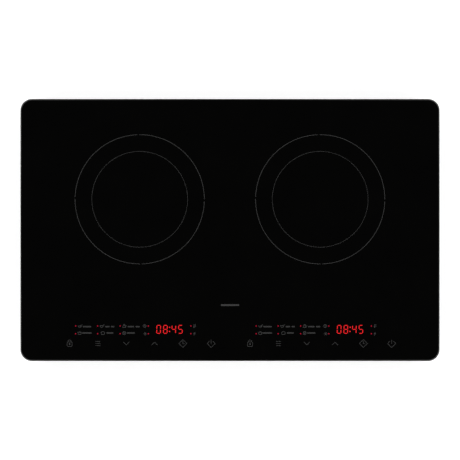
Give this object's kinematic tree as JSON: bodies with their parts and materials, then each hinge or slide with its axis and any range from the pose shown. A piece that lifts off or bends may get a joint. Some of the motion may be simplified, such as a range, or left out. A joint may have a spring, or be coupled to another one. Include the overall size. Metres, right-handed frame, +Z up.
{
  "type": "induction cooktop",
  "caption": "Freestanding glass-topped induction cooktop: ringed cooking zones, touch panels, coils, fans and boards in a vented tray on rubber feet.",
  "frame": {"origin": "under the middle of the glass, on the surface that the feet stand on", "axes": "+X to the right for a person at the controls, +Y towards the back where the cord enters, +Z up"},
  "size_m": [0.59, 0.369, 0.064],
  "materials": {
    "black_glass": "gloss",
    "black_silicone": "satin",
    "satin_black_plastic": "satin",
    "grained_black_plastic": "fine grain",
    "foot_rubber": "matt",
    "black_screw_steel": "blackened",
    "bright_screw_steel": "zinc plated",
    "gland_rubber": "satin",
    "natural_nylon": "satin",
    "terminal_plastic": "satin",
    "wire_insulation": "satin",
    "carrier_plastic": "moulded",
    "copper_wire": "enamelled strands",
    "ferrite": "sintered",
    "mica": "pearly",
    "white_silicone": "satin",
    "sleeved_lead": "braided sleeve",
    "power_laminate": "laminate",
    "heatsink_aluminium": "extruded",
    "device_epoxy": "moulded epoxy",
    "capacitor_box": "satin",
    "choke_core": "varnished winding",
    "capacitor_can": "sleeved",
    "brass_terminal": "turned",
    "fan_plastic": "moulded",
    "stator_steel": "laminated",
    "duct_plastic": "moulded",
    "panel_laminate": "laminate",
    "spring_steel": "tinned",
    "display_module": "filled",
    "red_lamp": "clear red",
    "ribbon_insulation": "ribbed",
    "print_ink": "fired enamel",
    "blank_foil": "satin foil"
  },
  "bodies": {
    "chassis": {"glass_top": "black_glass", "glass_seal": "black_silicone", "upper_frame": "satin_black_plastic", "base_tray": "grained_black_plastic", "rubber_feet": "foot_rubber", "housing_screws": "black_screw_steel", "inner_screws": "bright_screw_steel", "cord_plate": "grained_black_plastic", "cord_gland": "gland_rubber", "cord_clamp": "natural_nylon", "terminal_block": "terminal_plastic", "mains_wires": "wire_insulation", "left_coil_carrier": "carrier_plastic", "left_induction_coil": "copper_wire", "left_ferrite_bars": "ferrite", "left_mica_sheet": "mica", "left_temperature_sensor": "white_silicone", "left_coil_leads": "sleeved_lead", "left_power_board": "power_laminate", "left_heatsink": "heatsink_aluminium", "left_power_devices": "device_epoxy", "left_film_capacitors": "capacitor_box", "left_filter_choke": "choke_core", "left_electrolytic_capacitors": "capacitor_can", "left_coil_terminals": "brass_terminal", "left_fan_frame": "fan_plastic", "left_fan_stator": "stator_steel", "left_air_duct": "duct_plastic", "left_control_board": "panel_laminate", "left_control_holder": "carrier_plastic", "left_touch_springs": "spring_steel", "left_led_display": "display_module", "left_indicator_leds": "red_lamp", "left_control_ribbon": "ribbon_insulation", "right_coil_carrier": "carrier_plastic", "right_induction_coil": "copper_wire", "right_ferrite_bars": "ferrite", "right_mica_sheet": "mica", "right_temperature_sensor": "white_silicone", "right_coil_leads": "sleeved_lead", "right_power_board": "power_laminate", "right_heatsink": "heatsink_aluminium", "right_power_devices": "device_epoxy", "right_film_capacitors": "capacitor_box", "right_filter_choke": "choke_core", "right_electrolytic_capacitors": "capacitor_can", "right_coil_terminals": "brass_terminal", "right_fan_frame": "fan_plastic", "right_fan_stator": "stator_steel", "right_air_duct": "duct_plastic", "right_control_board": "panel_laminate", "right_control_holder": "carrier_plastic", "right_touch_springs": "spring_steel", "right_led_display": "display_module", "right_indicator_leds": "red_lamp", "right_control_ribbon": "ribbon_insulation"},
    "left_fan": {"left_fan_rotor": "fan_plastic", "left_fan_shaft": "bright_screw_steel"},
    "right_fan": {"right_fan_rotor": "fan_plastic", "right_fan_shaft": "bright_screw_steel"}
  },
  "joints": [
    {"name": "left_fan_spin", "type": "hinge", "parent": "chassis", "child": "left_fan", "pos_m": [-0.156, -0.08, 0.025], "axis": [0, 0, 1], "continuous": true},
    {"name": "right_fan_spin", "type": "hinge", "parent": "chassis", "child": "right_fan", "pos_m": [0.098, -0.08, 0.025], "axis": [0, 0, 1], "continuous": true}
  ]
}
